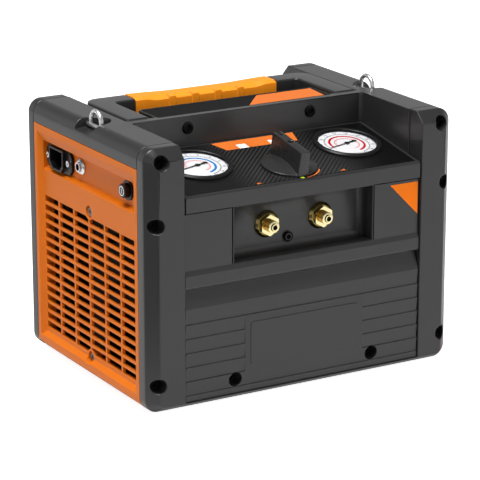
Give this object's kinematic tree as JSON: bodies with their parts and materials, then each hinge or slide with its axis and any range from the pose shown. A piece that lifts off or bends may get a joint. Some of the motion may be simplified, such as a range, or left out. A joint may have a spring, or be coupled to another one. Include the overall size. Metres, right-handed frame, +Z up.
{
  "type": "refrigerant recovery machine",
  "caption": "Portable refrigerant recovery machine: dark moulded case with orange grilled sides, carry handle, sloped control tray with pressure gauges, selector knob and brass flare ports.",
  "frame": {"origin": "on the floor under the middle of the case", "axes": "+X to the machine's right seen from the front, +Y towards the back, +Z up"},
  "size_m": [0.312, 0.24, 0.2493],
  "materials": {
    "shell": "fine-grained moulded",
    "orange_panel": "fine-grained moulded",
    "grip": "soft-touch moulded",
    "foot_rubber": "moulded",
    "overlay_film": "satin printed film",
    "black_plastic": "moulded",
    "dial": "printed",
    "pointer": "matt black",
    "lens": "clear",
    "brass": "turned",
    "plated_steel": "nickel plated",
    "sheet_steel": "zinc plated",
    "black_screw": "black oxide",
    "aluminium": "as cast",
    "motor_paint": "satin black",
    "copper": "drawn",
    "board": "solder mask"
  },
  "bodies": {
    "case": {"front_frame": "shell", "rear_frame": "shell", "front_panel": "shell", "rear_panel": "shell", "console": "shell", "top_cover": "shell", "left_side_panel": "orange_panel", "right_side_panel": "orange_panel", "base_plate": "sheet_steel", "feet": "foot_rubber", "handle_frame": "shell", "handle_grip": "grip", "control_overlay": "overlay_film", "low_gauge_case": "black_plastic", "high_gauge_case": "black_plastic", "low_gauge_bezel": "shell", "high_gauge_bezel": "shell", "low_gauge_dial": "dial", "high_gauge_dial": "dial", "low_gauge_lens": "lens", "high_gauge_lens": "lens", "selector_valve": "brass", "manifold_block": "aluminium", "inlet_fitting": "brass", "outlet_fitting": "brass", "fitting_washers": "brass", "power_inlet": "black_plastic", "power_inlet_pins": "plated_steel", "power_inlet_screws": "plated_steel", "sensor_jack": "plated_steel", "sensor_jack_nut": "plated_steel", "power_button_housing": "black_plastic", "front_screws": "black_screw", "rear_screws": "black_screw", "side_screws": "plated_steel", "handle_screws": "black_screw", "crankcase": "aluminium", "front_cylinder_head": "aluminium", "rear_cylinder_head": "aluminium", "rubber_mounts": "foot_rubber", "motor_case": "motor_paint", "motor_stator": "sheet_steel", "shaft_bearings": "plated_steel", "fan_shroud": "black_plastic", "condenser": "aluminium", "control_board": "board", "suction_pipe": "copper", "discharge_pipe": "copper"},
    "knob": {"selector_knob": "shell", "selector_stem": "plated_steel"},
    "button": {"power_button": "black_plastic"},
    "low_pointer": {"low_gauge_pointer": "pointer"},
    "high_pointer": {"high_gauge_pointer": "pointer"},
    "left_ring": {"left_strap_ring": "plated_steel"},
    "right_ring": {"right_strap_ring": "plated_steel"},
    "rotor": {"motor_shaft": "sheet_steel", "motor_rotor": "sheet_steel", "fan": "black_plastic"}
  },
  "joints": [
    {"name": "selector_turn", "type": "hinge", "parent": "case", "child": "knob", "pos_m": [0, -0.0917, 0.20984], "axis": [0, -0.1736, 0.9848], "range_deg": [-90, 90]},
    {"name": "button_press", "type": "slide", "parent": "case", "child": "button", "axis": [1, 0, 0], "range_m": [0, 0.003], "stiffness_N_per_m": 500, "springref_m": -0.004},
    {"name": "low_needle", "type": "hinge", "parent": "case", "child": "low_pointer", "pos_m": [-0.0773, -0.06402, 0.20548], "axis": [0, 0.1736, -0.9848], "range_deg": [0, 270], "stiffness_Nm_per_rad": 0.0005},
    {"name": "high_needle", "type": "hinge", "parent": "case", "child": "high_pointer", "pos_m": [0.0773, -0.06402, 0.20548], "axis": [0, 0.1736, -0.9848], "range_deg": [0, 270], "stiffness_Nm_per_rad": 0.0005},
    {"name": "left_ring_fold", "type": "hinge", "parent": "case", "child": "left_ring", "pos_m": [-0.1415, 0.0023, 0.2333], "axis": [0, -1, 0], "range_deg": [-30, 80]},
    {"name": "right_ring_fold", "type": "hinge", "parent": "case", "child": "right_ring", "pos_m": [0.1415, 0.0023, 0.2333], "axis": [0, 1, 0], "range_deg": [-30, 80]},
    {"name": "fan_spin", "type": "hinge", "parent": "case", "child": "rotor", "pos_m": [0.05, 0.016, 0.092], "axis": [1, 0, 0], "continuous": true}
  ]
}
